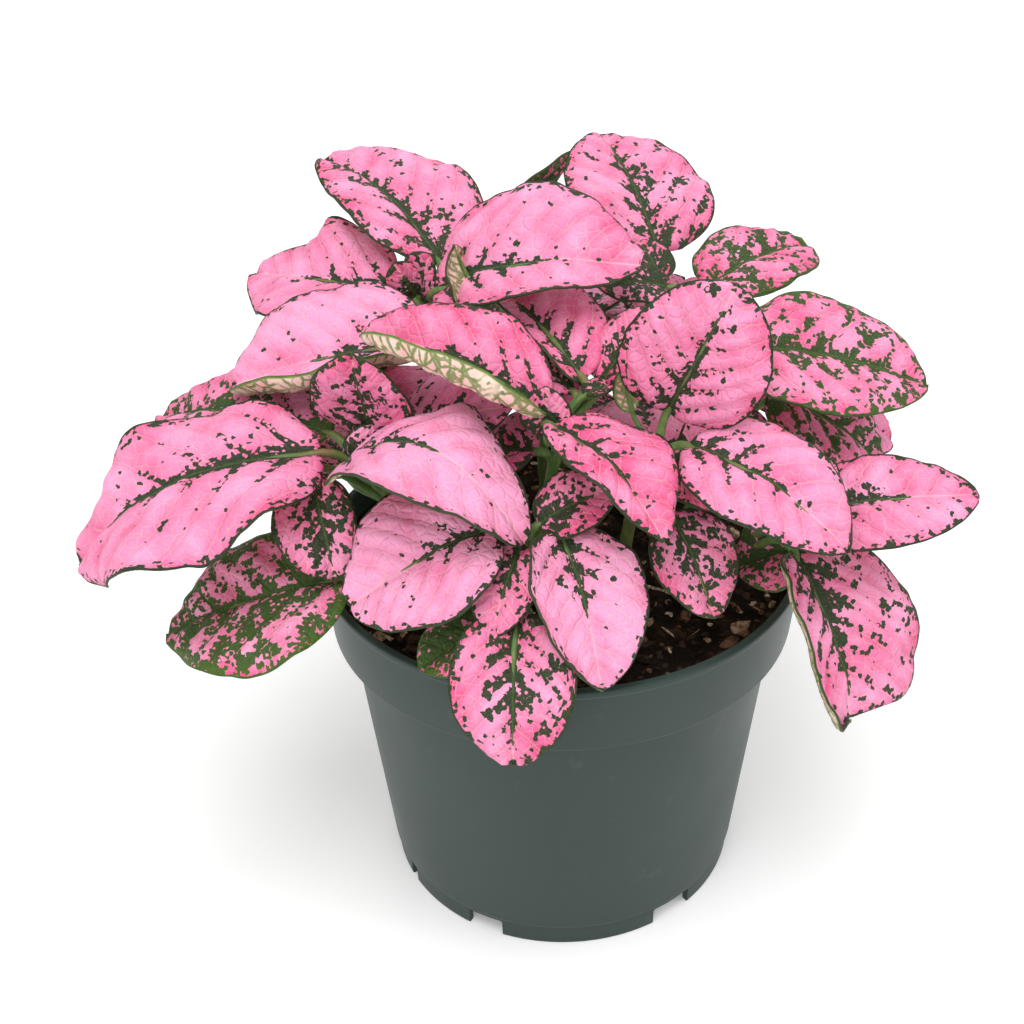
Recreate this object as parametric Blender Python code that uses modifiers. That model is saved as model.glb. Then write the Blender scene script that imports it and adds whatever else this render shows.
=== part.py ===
"""Potted polka dot plant: a plastic nursery pot, its soil and twelve leafy shoots.

Units are metres and +Z is up.  The pot's axis is the Z axis, its feet stand on Z = 0 and the front
of the plant faces -Y.  Each shoot is one solid: a stem rooted in the soil, its leaf stalks and its
blades, which are thin curved sheets.  The shoots are kept clear of each other, of the pot and of
the soil, which has a plain hole for each stem.
"""
import math

import bmesh
import bpy
from mathutils import Vector

MM = 0.001
GAP = 0.3 * MM                    # clearance between pieces that touch

# Pot: heights above the table and radii about the Z axis
RIM_HEIGHT = 90.0 * MM
RIM_RADIUS = 57.0 * MM
LIP_WIDTH = 2.0 * MM
BAND_HEIGHT = 17.5 * MM           # the collar below the rim
BAND_FOOT_RADIUS = 55.2 * MM
WALL_TOP_RADIUS = 51.3 * MM       # the body, just under the band
WALL_FOOT_RADIUS = 44.0 * MM
WALL = 1.5 * MM
FOOT_HEIGHT = 5.6 * MM            # feet under the body, with a fine step above them
FOOT_WIDTH = 2.0 * MM
FLOOR_RADIUS = 36.0 * MM          # the flat disc under the middle of the pot
FLOOR_LIFT = 0.6 * MM             # how far that disc stands off the table
FLOOR = 1.8 * MM
POT_STEPS = 60
NOTCH_HEIGHT = 5.0 * MM
NOTCHES = ((-60, 4), (-26, 12), (38, 15), (79, 8))     # drain notches: middle and width, in degrees

# Soil
SOIL_HEIGHT = 84.0 * MM
SOIL_CROWN = 1.2 * MM
SOIL_STEPS = 40
HOLE_SIDES = 8
HOLE_RADIUS = 2.3 * MM
ROOT_DEPTH = 10.0 * MM

# Stems, stalks and blades
STEM_RADIUS = 1.6 * MM
STEM_RISE = 2.0 * MM              # how far a stem stands straight above the soil
STALK_RADIUS = 1.0 * MM
STALK_SHARE = 0.09                # a small leaf's stalk radius, as a share of the leaf's width
STALK_SLOPE = 0.7                 # height that a stalk gains for each millimetre outwards
STALK_PULL = 0.35                 # how straight a stalk leaves the stem and meets its blade
STALK_LIFT = 0.12                 # how much it rises first, as a share of its reach
STALK_DROP = 1.0 * MM             # how far its start lies below the blade's base at least
RIB_SHARE = 0.15                  # how far it runs into the blade, as a share of the length
ROUTE_STEPS = 40                  # points of the stem that are tried as a stalk's start
LOWEST_STEP = 4
BLADE = 0.7 * MM
BLADE_END = 0.5 * MM              # least half-width, at the blade's two ends
FLAT_PART = 0.4                   # share of the half-width, next to the midrib, that isn't curled
CURL_WIDTH = 5.0 * MM             # half-width below which a blade curls less and less
BASE_POWERS = (0.55, 0.15)        # roundness of a blade's base, and how much "full" blunts it
TIP_POWERS = (0.8, 0.35)          # and the same of its tip
BLADE_GRIDS = ((13.0 * MM, (2, 4)), (26.0 * MM, (4, 5)), (50.0 * MM, (4, 6)))   # by the blade's width
STEM_BEVEL = 1                    # curve bevel resolutions: six sides, and four
STALK_BEVEL = 0


def leaf(base, tip, width, roll=0, arch=0.08, bend=0.0, cup=(12, 12), curl=(-30, -30), wave=0.05,
         full=0.3, sides=(1, 1)):
    """A blade's form: its ends and width in millimetres, and how it is turned and curved.

    roll turns it about its length in degrees.  arch and bend bow it, as shares of its length.
    cup lifts its left and right half and curl bends their outer part, both in degrees.  wave is
    the height of its margin's waves, full makes its ends blunter, and sides scales its halves.
    """
    return {"base": Vector(base) * MM, "tip": Vector(tip) * MM, "width": width * MM,
            "roll": math.radians(roll), "arch": arch, "bend": bend, "cup": cup, "curl": curl,
            "wave": wave, "full": full, "sides": sides}


# Each shoot: where it leaves the soil (x, y), where its stem ends, and its leaves, in millimetres
SHOOTS = {
    "shoot_left": ((-30, -10), (-46, -16, 122), (
        leaf((-51, -19, 125), (-105, -27, 102), 40, roll=-20, arch=0.18, wave=0.18, full=0.7,
             sides=(1.12, 0.88)),
        leaf((-50, -11, 125), (-93, 12, 117), 36, roll=-15, full=0.5),
        leaf((-47, -20, 122), (-7, -44, 118), 34, roll=15, arch=0.34, bend=-0.04, cup=(-10, 5),
             curl=(-20, 30)),
        leaf((-41, -11, 125), (-43, -18, 148), 24, roll=180, arch=0.04),
        leaf((-53, -22, 120), (-48, -35, 103), 23, roll=10, arch=0.12, cup=(30, 10),
             sides=(0.7, 0.95)),
        leaf((-36, -11, 124), (-10, -15, 134), 27, roll=20),
        leaf((-47, -11, 114), (-56, 13, 112), 20, roll=-10),
        leaf((-46, -17, 122), (-37, -13, 128), 9, roll=60),
        leaf((-46, -31, 101), (-87, -31, 86), 36, roll=-20, arch=0.06, full=0.3,
             sides=(1.15, 0.9)))),
    "shoot_upper_left": ((-18, 16), (-31, 25, 142), (
        leaf((-28, 30, 147), (-59, 65, 160), 40, roll=-10, bend=0.05, cup=(25, 5), full=0.2,
             sides=(0.75, 1.05)),
        leaf((-38, 26, 142), (-74, 43, 139), 34, roll=-25, bend=-0.04, wave=0.16, full=0.4),
        leaf((-33, 26, 141), (-29, 22, 153), 12, roll=90),
        leaf((-33, 25, 141), (-38, 24, 150), 12, roll=-90),
        leaf((-30, 3, 140), (-74, 4, 129), 40, roll=-25, arch=0.06, curl=(110, -30), full=0.8,
             sides=(0.9, 1)),
        leaf((-34, 31, 132), (-58, 54, 130), 26),
        leaf((-20, 16, 126), (2, 8, 130), 20),
        leaf((-25, 22, 121), (-38, 2, 117), 30))),
    "shoot_top_left": ((-4, 26), (-14, 30, 142), (
        leaf((-28, 15, 147), (18, 3, 158), 40, roll=35, arch=0.14, curl=(-30, 20), full=0.6,
             sides=(1, 0.6)),
        leaf((-11, 56, 154), (3, 62, 163), 10, roll=125),
        leaf((-14, 35, 132), (-24, 62, 135), 25),
        leaf((-17, 8, 147), (-23, 10, 160), 15, roll=180, full=0.6))),
    "shoot_top_right": ((16, 20), (22, 26, 146), (
        leaf((23, 31, 149), (10, 66, 166), 37, roll=5, cup=(8, 8), full=0.1, sides=(0.95, 1.08)),
        leaf((25, 14, 148), (8, 11, 150), 15, roll=-20, full=0.6),
        leaf((23, 20, 147), (18, 31, 152), 11),
        leaf((24, 31, 130), (32, 58, 131), 25),
        leaf((18, 15, 119), (21, -8, 118), 23),
        leaf((14, 20, 116), (3, 6, 118), 22))),
    "shoot_centre": ((-4, -6), (1, -21, 136), (
        leaf((5, -13, 139), (-17, 20, 147), 28, roll=-12, arch=0.1, cup=(0, 12), curl=(100, -30),
             sides=(0.5, 1)),
        leaf((3, -13, 136), (-15, 8, 138), 19, roll=-8, full=0.5),
        leaf((9, -13, 138), (21, -2, 150), 17),
        leaf((5, -18, 138), (12, -13, 138), 7),
        leaf((-3, -25, 138), (-41, -13, 150), 30, roll=-20, arch=0.12, curl=(150, -30), full=0.5),
        leaf((-2, -29, 137), (20, -52, 124), 32, roll=-10, arch=0.12, cup=(18, 12), full=0.5,
             sides=(0.9, 0.6)),
        leaf((-3, -26, 133), (-3, -25, 144), 11),
        leaf((-5, -17, 124), (-23, -6, 116), 20, roll=-20))),
    "shoot_right_centre": ((14, -14), (20, -27, 131), (
        leaf((22, -22, 136), (34, -29, 168), 31, roll=105, arch=0.06, full=0.7),
        leaf((26, -27, 131), (57, -49, 119), 28, roll=15, arch=0.14, full=0.2),
        leaf((23, -31, 117), (32, -45, 100), 21, arch=0.06),
        leaf((15, -20, 135), (13, -21, 146), 6, roll=90),
        leaf((22, -23, 125), (36, -31, 118), 17, roll=10))),
    "shoot_right_upper": ((30, 2), (40, 6, 140), (
        leaf((33, 18, 146), (59, 38, 148), 26, roll=10, full=0.6),
        leaf((37, -2, 141), (81, -1, 131), 34, roll=25, full=0.3, sides=(0.95, 1)),
        leaf((46, 2, 129), (73, -1, 111), 30, roll=25, full=0.5),
        leaf((54, 13, 120), (79, 14, 108), 26, roll=20),
        leaf((41, 14, 129), (62, 39, 127), 26),
        leaf((38, -3, 128), (36, -13, 107), 22))),
    "shoot_right_low": ((36, -16), (51, -24, 113), (
        leaf((51, -25, 113), (89, -25, 117), 26, roll=30, sides=(0.78, 0.95)),
        leaf((54, -25, 105), (38, -24, 98), 22, roll=-20),
        leaf((50, -30, 106), (62, -50, 77), 36, roll=-10, curl=(-20, 60), wave=0.01, full=1.7,
             sides=(1.28, 1)),
        leaf((53, -24, 115), (57, -24, 126), 8, roll=90),
        leaf((50, -21, 115), (51, -17, 126), 9))),
    "shoot_front": ((-10, -26), (-7, -38, 116), (
        leaf((-13, -38, 119), (-44, -44, 103), 32, roll=-28, full=0.6, sides=(1, 1.06)),
        leaf((-8, -40, 115), (-14, -54, 102), 15, arch=0.12),
        leaf((-10, -45, 99), (-30, -51, 92), 20, roll=-10),
        leaf((-9, -49, 105), (-10, -66, 79), 26, arch=0.2, curl=(-20, -20), full=0.5),
        leaf((0, -39, 118), (8, -61, 94), 27, arch=0.1, curl=(-20, 50)),
        leaf((-5, -37, 118), (12, -33, 125), 16, roll=20))),
    "shoot_back_left": ((-26, 34), (-35, 45, 121), (
        leaf((-38, 46, 122), (-70, 60, 110), 28),
        leaf((-36, 49, 120), (-46, 88, 104), 28),
        leaf((-40, 40, 113), (-80, 38, 97), 28),
        leaf((-31, 51, 112), (-14, 86, 98), 26),
        leaf((-34, 44, 119), (-22, 62, 122), 13),
        leaf((-38, 36, 122), (-60, 20, 125), 22))),
    "shoot_back": ((0, 42), (2, 49, 124), (
        leaf((0, 52, 124), (-6, 94, 110), 30),
        leaf((6, 51, 122), (32, 86, 108), 28),
        leaf((3, 52, 108), (10, 88, 88), 26),
        leaf((5, 48, 125), (18, 60, 129), 13),
        leaf((1, 44, 124), (2, 20, 130), 17))),
    "shoot_back_right": ((26, 32), (37, 43, 121), (
        leaf((40, 44, 121), (74, 58, 108), 28),
        leaf((39, 48, 118), (56, 84, 102), 27),
        leaf((44, 38, 110), (80, 34, 94), 27),
        leaf((36, 46, 106), (36, 84, 88), 26))),
}


def clear_scene():
    """Remove every object of the scene that the script starts in."""
    for obj in list(bpy.data.objects):
        bpy.data.objects.remove(obj, do_unlink=True)


def new_collection(name):
    """A collection of the scene."""
    collection = bpy.data.collections.new(name)
    bpy.context.scene.collection.children.link(collection)
    return collection


def material(name, color, roughness):
    """A Principled material of one colour."""
    mat = bpy.data.materials.new(name)
    mat.use_nodes = True
    shader = mat.node_tree.nodes["Principled BSDF"]
    shader.inputs["Base Color"].default_value = (*color, 1.0)
    shader.inputs["Roughness"].default_value = roughness
    shader.inputs["Metallic"].default_value = 0.0
    return mat


def new_object(name, mesh, collection):
    """An object that holds the mesh, in the collection."""
    obj = bpy.data.objects.new(name, mesh)
    collection.objects.link(obj)
    return obj


def turned(name, profile, steps, collection):
    """A solid turned about Z from (radius, height) points that run down its outer side."""
    mesh = bpy.data.meshes.new(name)
    bm = bmesh.new()
    points = [bm.verts.new((radius, 0.0, height)) for radius, height in profile]
    for upper, lower in zip(points, points[1:]):
        bm.edges.new((upper, lower))
    bm.to_mesh(mesh)
    bm.free()
    obj = new_object(name, mesh, collection)
    screw = obj.modifiers.new("Turn", "SCREW")
    screw.steps = steps
    screw.render_steps = steps
    screw.use_merge_vertices = True
    screw.merge_threshold = 0.00001
    screw.use_smooth_shade = True
    return obj


def add_boolean(obj, operation, collection):
    """A Boolean of the object with every object of the collection."""
    boolean = obj.modifiers.new(operation.title(), "BOOLEAN")
    boolean.operation = operation
    boolean.operand_type = "COLLECTION"
    boolean.collection = collection
    boolean.solver = "EXACT"
    return boolean


def hide_cutter(obj):
    """Mark an object as a cutter, which isn't a piece of the plant."""
    obj.hide_render = True
    obj.display_type = "WIRE"


def pot_cavity():
    """The pot's inner corners as (radius, height), from its axis to below the lip."""
    floor_top = FLOOR_LIFT + FLOOR
    ledge_top = FOOT_HEIGHT + WALL
    band_foot = RIM_HEIGHT - BAND_HEIGHT
    return [
        (0.0, floor_top),
        (FLOOR_RADIUS - WALL, floor_top),
        (FLOOR_RADIUS, ledge_top),
        (WALL_FOOT_RADIUS - WALL + 0.5 * MM, ledge_top),
        (WALL_TOP_RADIUS - WALL, band_foot + 0.7 * WALL),
        (BAND_FOOT_RADIUS - WALL, band_foot + 1.3 * WALL),
        (RIM_RADIUS - LIP_WIDTH, RIM_HEIGHT - 0.7 * MM),
    ]


def make_pot(parts, cutters):
    """The nursery pot: a tapered wall with a collar, and feet between its drain notches."""
    band_foot = RIM_HEIGHT - BAND_HEIGHT
    bevel = 0.4 * MM
    profile = pot_cavity() + [
        (RIM_RADIUS - LIP_WIDTH + bevel, RIM_HEIGHT),
        (RIM_RADIUS - bevel, RIM_HEIGHT),
        (RIM_RADIUS, RIM_HEIGHT - bevel),
        (BAND_FOOT_RADIUS, band_foot),
        (WALL_TOP_RADIUS, band_foot - bevel),
        (WALL_FOOT_RADIUS + 0.6 * MM, FOOT_HEIGHT + bevel),
        (WALL_FOOT_RADIUS, FOOT_HEIGHT),
        (WALL_FOOT_RADIUS - 0.2 * MM, 0.0),
        (WALL_FOOT_RADIUS - FOOT_WIDTH, 0.0),
        (WALL_FOOT_RADIUS - FOOT_WIDTH, FOOT_HEIGHT),
        (FLOOR_RADIUS + WALL, FOOT_HEIGHT),
        (FLOOR_RADIUS, FLOOR_LIFT),
        (0.0, FLOOR_LIFT),
    ]
    pot = turned("pot", profile, POT_STEPS, parts)
    for middle, width in NOTCHES:
        for turn in (0, 180):
            angle = math.radians(middle + turn)
            make_notch_cutter(angle, math.radians(width), cutters)
    add_boolean(pot, "DIFFERENCE", cutters)
    pot.data.materials.append(material("pot plastic", (0.067, 0.087, 0.08), 0.45))
    return pot


def make_notch_cutter(angle, width, cutters):
    """A block through the feet's ring, at an angle about Z from the front."""
    across = 2.0 * WALL_FOOT_RADIUS * math.sin(width / 2.0)
    bpy.ops.mesh.primitive_cube_add(size=1.0)
    block = bpy.context.object
    block.name = "notch_cutter"
    block.scale = (across, 4.0 * FOOT_WIDTH, 2.0 * NOTCH_HEIGHT)
    block.rotation_euler = (0.0, 0.0, angle)
    reach = WALL_FOOT_RADIUS - 0.5 * FOOT_WIDTH
    block.location = (reach * math.sin(angle), -reach * math.cos(angle), 0.0)
    move_to(block, cutters)
    hide_cutter(block)


def move_to(obj, collection):
    """Take an object out of its collections and put it in this one."""
    for holder in list(obj.users_collection):
        holder.objects.unlink(obj)
    collection.objects.link(obj)


def make_soil(parts, cutters):
    """The soil that fills the pot, with a plain hole for each stem."""
    cavity = [(max(radius - GAP, 0.0), height + GAP) for radius, height in pot_cavity()]
    rim, wall = cavity[-1], cavity[-2]
    edge_height = SOIL_HEIGHT - SOIL_CROWN / 2.0
    share = (edge_height - wall[1]) / (rim[1] - wall[1])
    edge_radius = wall[0] + (rim[0] - wall[0]) * share
    profile = [
        (0.0, SOIL_HEIGHT + SOIL_CROWN),
        (0.5 * edge_radius, SOIL_HEIGHT + 0.8 * SOIL_CROWN),
        (0.85 * edge_radius, SOIL_HEIGHT),
        (edge_radius, edge_height),
    ] + cavity[-2::-1]
    soil = turned("soil", profile, SOIL_STEPS, parts)
    floor = SOIL_HEIGHT - ROOT_DEPTH - GAP
    for root, _, _ in SHOOTS.values():
        bpy.ops.mesh.primitive_cylinder_add(vertices=HOLE_SIDES, radius=HOLE_RADIUS,
                                            depth=2.0 * ROOT_DEPTH)
        hole = bpy.context.object
        hole.name = "stem_hole_cutter"
        hole.location = (root[0] * MM, root[1] * MM, floor + ROOT_DEPTH)
        move_to(hole, cutters)
        hide_cutter(hole)
    add_boolean(soil, "DIFFERENCE", cutters)
    soil.data.materials.append(material("potting soil", (0.02, 0.014, 0.01), 0.95))
    return soil


def bezier(start, pull_start, pull_end, end, share):
    """The point of a cubic curve at a share of its way."""
    rest = 1.0 - share
    return (start * rest ** 3 + pull_start * 3.0 * rest * rest * share
            + pull_end * 3.0 * rest * share * share + end * share ** 3)


def stem_point(root, apex, share):
    """A point of a stem's bent stretch, from just above the soil to its end."""
    foot = Vector((root[0] * MM, root[1] * MM, SOIL_HEIGHT + STEM_RISE))
    top = Vector(apex) * MM
    rise = top.z - foot.z
    pull_end = foot + Vector(((top.x - foot.x) * 0.6, (top.y - foot.y) * 0.6, rise * 0.7))
    return bezier(foot, foot + Vector((0.0, 0.0, rise * 0.45)), pull_end, top, share)


def half_section(form, side, reach, width):
    """How far out and up a blade's cross-section is at a reach from 0, midrib, to 1, margin.

    It runs straight next to the midrib, and from there along an arc.
    """
    lift = math.radians(form["cup"][side])
    turn = math.radians(form["curl"][side]) * min(1.0, width / CURL_WIDTH)
    straight = min(reach, FLAT_PART)
    out = straight * math.cos(lift)
    up = straight * math.sin(lift)
    if reach > FLAT_PART:
        outer = 1.0 - FLAT_PART
        end = lift + turn * (reach - FLAT_PART) / outer
        if abs(turn) < 0.001:
            out += (reach - FLAT_PART) * math.cos(lift)
            up += (reach - FLAT_PART) * math.sin(lift)
        else:
            out += (math.sin(end) - math.sin(lift)) * outer / turn
            up += (math.cos(lift) - math.cos(end)) * outer / turn
    return out, up


def half_width(form, side, share):
    """A blade's half-width at a share of its length: an egg shape, pointed at both ends."""
    base_power = BASE_POWERS[0] - BASE_POWERS[1] * form["full"]
    tip_power = TIP_POWERS[0] - TIP_POWERS[1] * form["full"]
    widest = base_power / (base_power + tip_power)
    outline = (share / widest) ** base_power * ((1.0 - share) / (1.0 - widest)) ** tip_power
    return max(form["width"] / 2.0 * outline * form["sides"][side], BLADE_END)


def leaf_point(form, across, share):
    """A point of a blade: across runs from -1, left, to 1, right, and share from base to tip."""
    along = form["tip"] - form["base"]
    length = along.length
    level = along.cross(Vector((0.0, 0.0, 1.0))).normalized()
    upward = level.cross(along).normalized()
    right = level * math.cos(form["roll"]) - upward * math.sin(form["roll"])
    normal = upward * math.cos(form["roll"]) + level * math.sin(form["roll"])
    bow = (normal * form["arch"] + right * form["bend"]) * 4.0 * length
    middle = form["base"] + along * share + bow * share * (1.0 - share)
    tangent = (along + bow * (1.0 - 2.0 * share)).normalized()
    normal = (normal - tangent * normal.dot(tangent)).normalized()
    outward = tangent.cross(normal)
    side = 0 if across < 0.0 else 1
    width = half_width(form, side, min(max(share, 0.0), 1.0))
    out, up = half_section(form, side, abs(across), width)
    phase = (form["base"].x + form["base"].y) / MM + (0.9 if side else 0.0)
    ripple = form["wave"] * across * across * math.sin(4.0 * math.pi * share + phase)
    return middle + outward * math.copysign(out * width, across) + normal * (up + ripple) * width


def add_blade(form, name, collection):
    """A leaf's blade: a grid laid on its surface, split into triangles and given its thickness."""
    columns, rows = next(grid for width, grid in BLADE_GRIDS if form["width"] <= width)
    bm = bmesh.new()
    bmesh.ops.create_grid(bm, x_segments=columns, y_segments=rows, size=1.0)
    for vert in bm.verts:
        vert.co = leaf_point(form, vert.co.x, (vert.co.y + 1.0) / 2.0)
    bmesh.ops.triangulate(bm, faces=bm.faces[:])
    mesh = bpy.data.meshes.new(name)
    bm.to_mesh(mesh)
    bm.free()
    blade = new_object(name, mesh, collection)
    solidify = blade.modifiers.new("Thickness", "SOLIDIFY")
    solidify.thickness = BLADE
    solidify.offset = 0.0
    return blade


def add_rod(points, radius, bevel, name, collection):
    """A rod along the points, as a closed mesh."""
    curve = bpy.data.curves.new(name, "CURVE")
    curve.dimensions = "3D"
    curve.bevel_depth = radius
    curve.bevel_resolution = bevel
    curve.use_fill_caps = True
    spline = curve.splines.new("POLY")
    spline.points.add(len(points) - 1)
    for point, place in zip(spline.points, points):
        point.co = (*place, 1.0)
    guide = new_object(name + "_guide", curve, collection)
    graph = bpy.context.evaluated_depsgraph_get()
    mesh = bpy.data.meshes.new_from_object(guide.evaluated_get(graph))
    bm = bmesh.new()
    bm.from_mesh(mesh)
    bmesh.ops.remove_doubles(bm, verts=bm.verts[:], dist=0.01 * MM)
    bm.to_mesh(mesh)
    bm.free()
    bpy.data.objects.remove(guide, do_unlink=True)
    bpy.data.curves.remove(curve)
    return new_object(name, mesh, collection)


def stalk_points(root, apex, form):
    """A leaf stalk's route: from the stem, up and out, and on into the blade's midrib."""
    base = form["base"]
    route = [stem_point(root, apex, step / ROUTE_STEPS)
             for step in range(LOWEST_STEP, ROUTE_STEPS + 1)]

    def miss(point):
        outwards = math.hypot(point.x - base.x, point.y - base.y)
        return abs(point.z - (base.z - STALK_SLOPE * outwards - STALK_DROP))

    start = min(route, key=miss)
    reach = (base - start).length
    heading = (leaf_point(form, 0.0, 0.1) - base).normalized()
    pull_start = start + (base - start) * STALK_PULL + Vector((0.0, 0.0, STALK_LIFT * reach))
    pull_end = base - heading * STALK_PULL * reach
    points = [bezier(start, pull_start, pull_end, base, share) for share in (0.0, 0.35, 0.7, 1.0)]
    return points + [leaf_point(form, 0.0, RIB_SHARE)]


def make_shoot(name, root, apex, leaves, parts, mat):
    """One leafy shoot: a stem, joined with its stalks and blades into one solid."""
    grown = new_collection(name + " pieces")
    foot = Vector((root[0] * MM, root[1] * MM, SOIL_HEIGHT - ROOT_DEPTH))
    stem = [foot] + [stem_point(root, apex, share) for share in (0.0, 0.25, 0.5, 0.75, 1.0)]
    shoot = add_rod(stem, STEM_RADIUS, STEM_BEVEL, name, parts)
    for number, form in enumerate(leaves, 1):
        radius = min(STALK_RADIUS, form["width"] * STALK_SHARE)
        route = stalk_points(root, apex, form)
        add_rod(route, radius, STALK_BEVEL, f"{name}_stalk_{number}", grown)
        add_blade(form, f"{name}_blade_{number}", grown)
    add_boolean(shoot, "UNION", grown)
    apply_modifiers(shoot)
    for piece in list(grown.objects):
        bpy.data.objects.remove(piece, do_unlink=True)
    bpy.data.collections.remove(grown)
    shoot.data.materials.clear()
    shoot.data.materials.append(mat)
    return shoot


def apply_modifiers(obj):
    """Make an object's evaluated mesh its own."""
    graph = bpy.context.evaluated_depsgraph_get()
    mesh = bpy.data.meshes.new_from_object(obj.evaluated_get(graph))
    mesh.name = obj.name
    obj.modifiers.clear()
    obj.data = mesh


def main():
    clear_scene()
    parts = new_collection("potted polka dot plant")
    make_pot(parts, new_collection("notch cutters"))
    make_soil(parts, new_collection("stem hole cutters"))
    leaf_green_pink = material("spotted leaf", (0.78, 0.27, 0.42), 0.5)
    for name, (root, apex, leaves) in SHOOTS.items():
        make_shoot(name, root, apex, leaves, parts, leaf_green_pink)


main()
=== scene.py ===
"""Potted polka dot plant: the finish of its pot, soil, stems and spotted leaves, and a stage.

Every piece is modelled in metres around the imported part: the pot's axis is the Z axis, its feet
stand on Z = 0 and the front of the plant faces -Y.
"""

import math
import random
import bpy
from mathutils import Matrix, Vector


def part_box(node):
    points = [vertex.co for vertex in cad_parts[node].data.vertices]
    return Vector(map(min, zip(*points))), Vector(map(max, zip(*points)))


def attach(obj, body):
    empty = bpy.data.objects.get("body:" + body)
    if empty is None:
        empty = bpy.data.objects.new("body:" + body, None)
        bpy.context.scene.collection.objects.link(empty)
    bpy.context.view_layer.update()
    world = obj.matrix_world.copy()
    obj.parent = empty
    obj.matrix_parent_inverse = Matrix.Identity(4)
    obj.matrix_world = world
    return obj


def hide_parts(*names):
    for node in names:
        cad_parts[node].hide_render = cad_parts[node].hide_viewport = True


bl_info = {
    "name": "Potted Polka Dot Plant",
    "version": (1, 0, 0),
    "blender": (4, 5, 0),
    "location": "3D View > Sidebar > Plant",
    "description": "Makes a potted polka dot plant and a stage for it",
    "category": "Add Mesh",
}

from types import SimpleNamespace

import bmesh
import bpy
from bpy.props import FloatProperty, FloatVectorProperty, IntProperty, PointerProperty
from bpy.types import Operator, Panel, PropertyGroup
from mathutils import Matrix, Vector, noise

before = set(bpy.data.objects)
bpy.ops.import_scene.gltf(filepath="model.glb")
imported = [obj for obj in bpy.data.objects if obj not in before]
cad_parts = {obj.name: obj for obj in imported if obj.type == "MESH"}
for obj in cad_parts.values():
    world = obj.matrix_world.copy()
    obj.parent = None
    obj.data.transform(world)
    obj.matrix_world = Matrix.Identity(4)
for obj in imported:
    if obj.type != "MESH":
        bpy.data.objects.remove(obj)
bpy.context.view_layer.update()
_, POT_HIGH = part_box("pot")
_, SOIL_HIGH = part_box("soil")

MM = 0.001
BODY = "root"

# Pot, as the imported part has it: heights above the table and radii about the Z axis
RIM_HEIGHT = POT_HIGH.z
RIM_RADIUS = POT_HIGH.x
LIP_WIDTH = 2.0 * MM
BAND_HEIGHT = 17.5 * MM
BAND_FOOT_RADIUS = 55.2 * MM
WALL_TOP_RADIUS = 51.3 * MM
WALL_FOOT_RADIUS = 44.0 * MM
WALL = 1.5 * MM
FOOT_HEIGHT = 5.6 * MM
FOOT_WIDTH = 2.0 * MM
FLOOR_RADIUS = 36.0 * MM
FLOOR_LIFT = 0.6 * MM
FLOOR = 1.8 * MM
NOTCH_HEIGHT = 5.0 * MM
NOTCHES = ((-60, 4), (-26, 12), (38, 15), (79, 8))  # middle and width of each, in degrees
NOTCH_ROUNDING = 0.6 * MM
CORNER_STEPS = 4  # straight pieces of a rounded corner of the profile

# Soil
SOIL_HEIGHT = 84.0 * MM
SOIL_RADIUS = SOIL_HIGH.x
SOIL_CROWN = 1.0 * MM  # how far the middle stands above that height
SOIL_FALL = 1.4 * MM  # how far the surface falls from the middle to the wall
SOIL_LOWEST = SOIL_HEIGHT - 1.0 * MM  # all of the surface lies above this
SOIL_CLEARANCE = 0.3 * MM  # from the pot
SOIL_RINGS = 56
SOIL_STEPS = 240
BIT_TINTS = (((0.014, 0.009, 0.006), 0.42), ((0.055, 0.030, 0.018), 0.24),
             ((0.20, 0.11, 0.06), 0.16), ((0.46, 0.30, 0.19), 0.12), ((0.80, 0.62, 0.46), 0.06))
LARGE_BITS = (0.15, 2.2)  # their share, and how much larger they are
FIBRES = 0.08  # their share

# Stems, stalks and blades
STEM_RISE = 2.0 * MM  # how far a stem stands straight above the soil
ROOT_DEPTH = 6.0 * MM
STEM_STEPS = 26
STALK_SLOPE = 0.7  # height that a stalk gains for each millimetre outwards
STALK_PULL = 0.35  # how straight a stalk leaves the stem and meets its blade
STALK_LIFT = 0.12  # how much it rises first, as a share of its reach
STALK_DROP = 1.0 * MM  # how far its start lies below the blade's base at least
STALK_STEPS = 12
ROUTE_STEPS = 40  # points of the stem that are tried as a stalk's start
LOWEST_STEP = 4
RIB_SHARE = 0.86  # how far it runs on as a midrib, as a share of the blade
RIB_STEPS = 14
BLADE_END = 0.15 * MM  # least half-width, at the blade's two ends
FLAT_PART = 0.4  # share of the half-width, next to the midrib, that isn't curled
CURL_WIDTH = 5.0 * MM  # half-width below which a blade curls less and less
FULL_RELIEF_WIDTH = 26.0 * MM  # width from which a blade has its full relief
RIB_GROOVE = 0.45 * MM
BLADE_ROLLS = 0.9 * MM
MARGIN_FRILLS = 0.6 * MM
MARGIN_WAVES = 1.1 * MM
BASE_POWERS = (0.55, 0.15)  # roundness of a blade's base, and how much "full" blunts it
TIP_POWERS = (0.8, 0.35)  # and the same of its tip

# Side veins: their spacing in shares of a blade's length, how they lean and bend forwards, how far
# the right half's are shifted against the left half's, and how they wander and narrow as drawn
VEIN_SPACING = 0.155
VEIN_LEAN = 0.65
VEIN_CURVE = 0.9
VEIN_SHIFT = 0.12
VEIN_WANDER = 2.6
VEIN_WANDER_SCALE = 0.22
VEIN_NARROWING = 0.8

# What each blade stores on its mesh, in millimetres, and how its seed shifts its markings
BLADE_LAYERS = {"plan": ("x", "y", "length"), "edge": ("margin", "seed", "pink"),
                "marks": ("spots", "rib", "rim")}
SEED_STEPS = (31.7, 17.3)
BLOTCH_CELLS = 1.05  # for each millimetre, as the next two
DOT_CELLS = 0.62
HOLE_CELLS = 0.85

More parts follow.
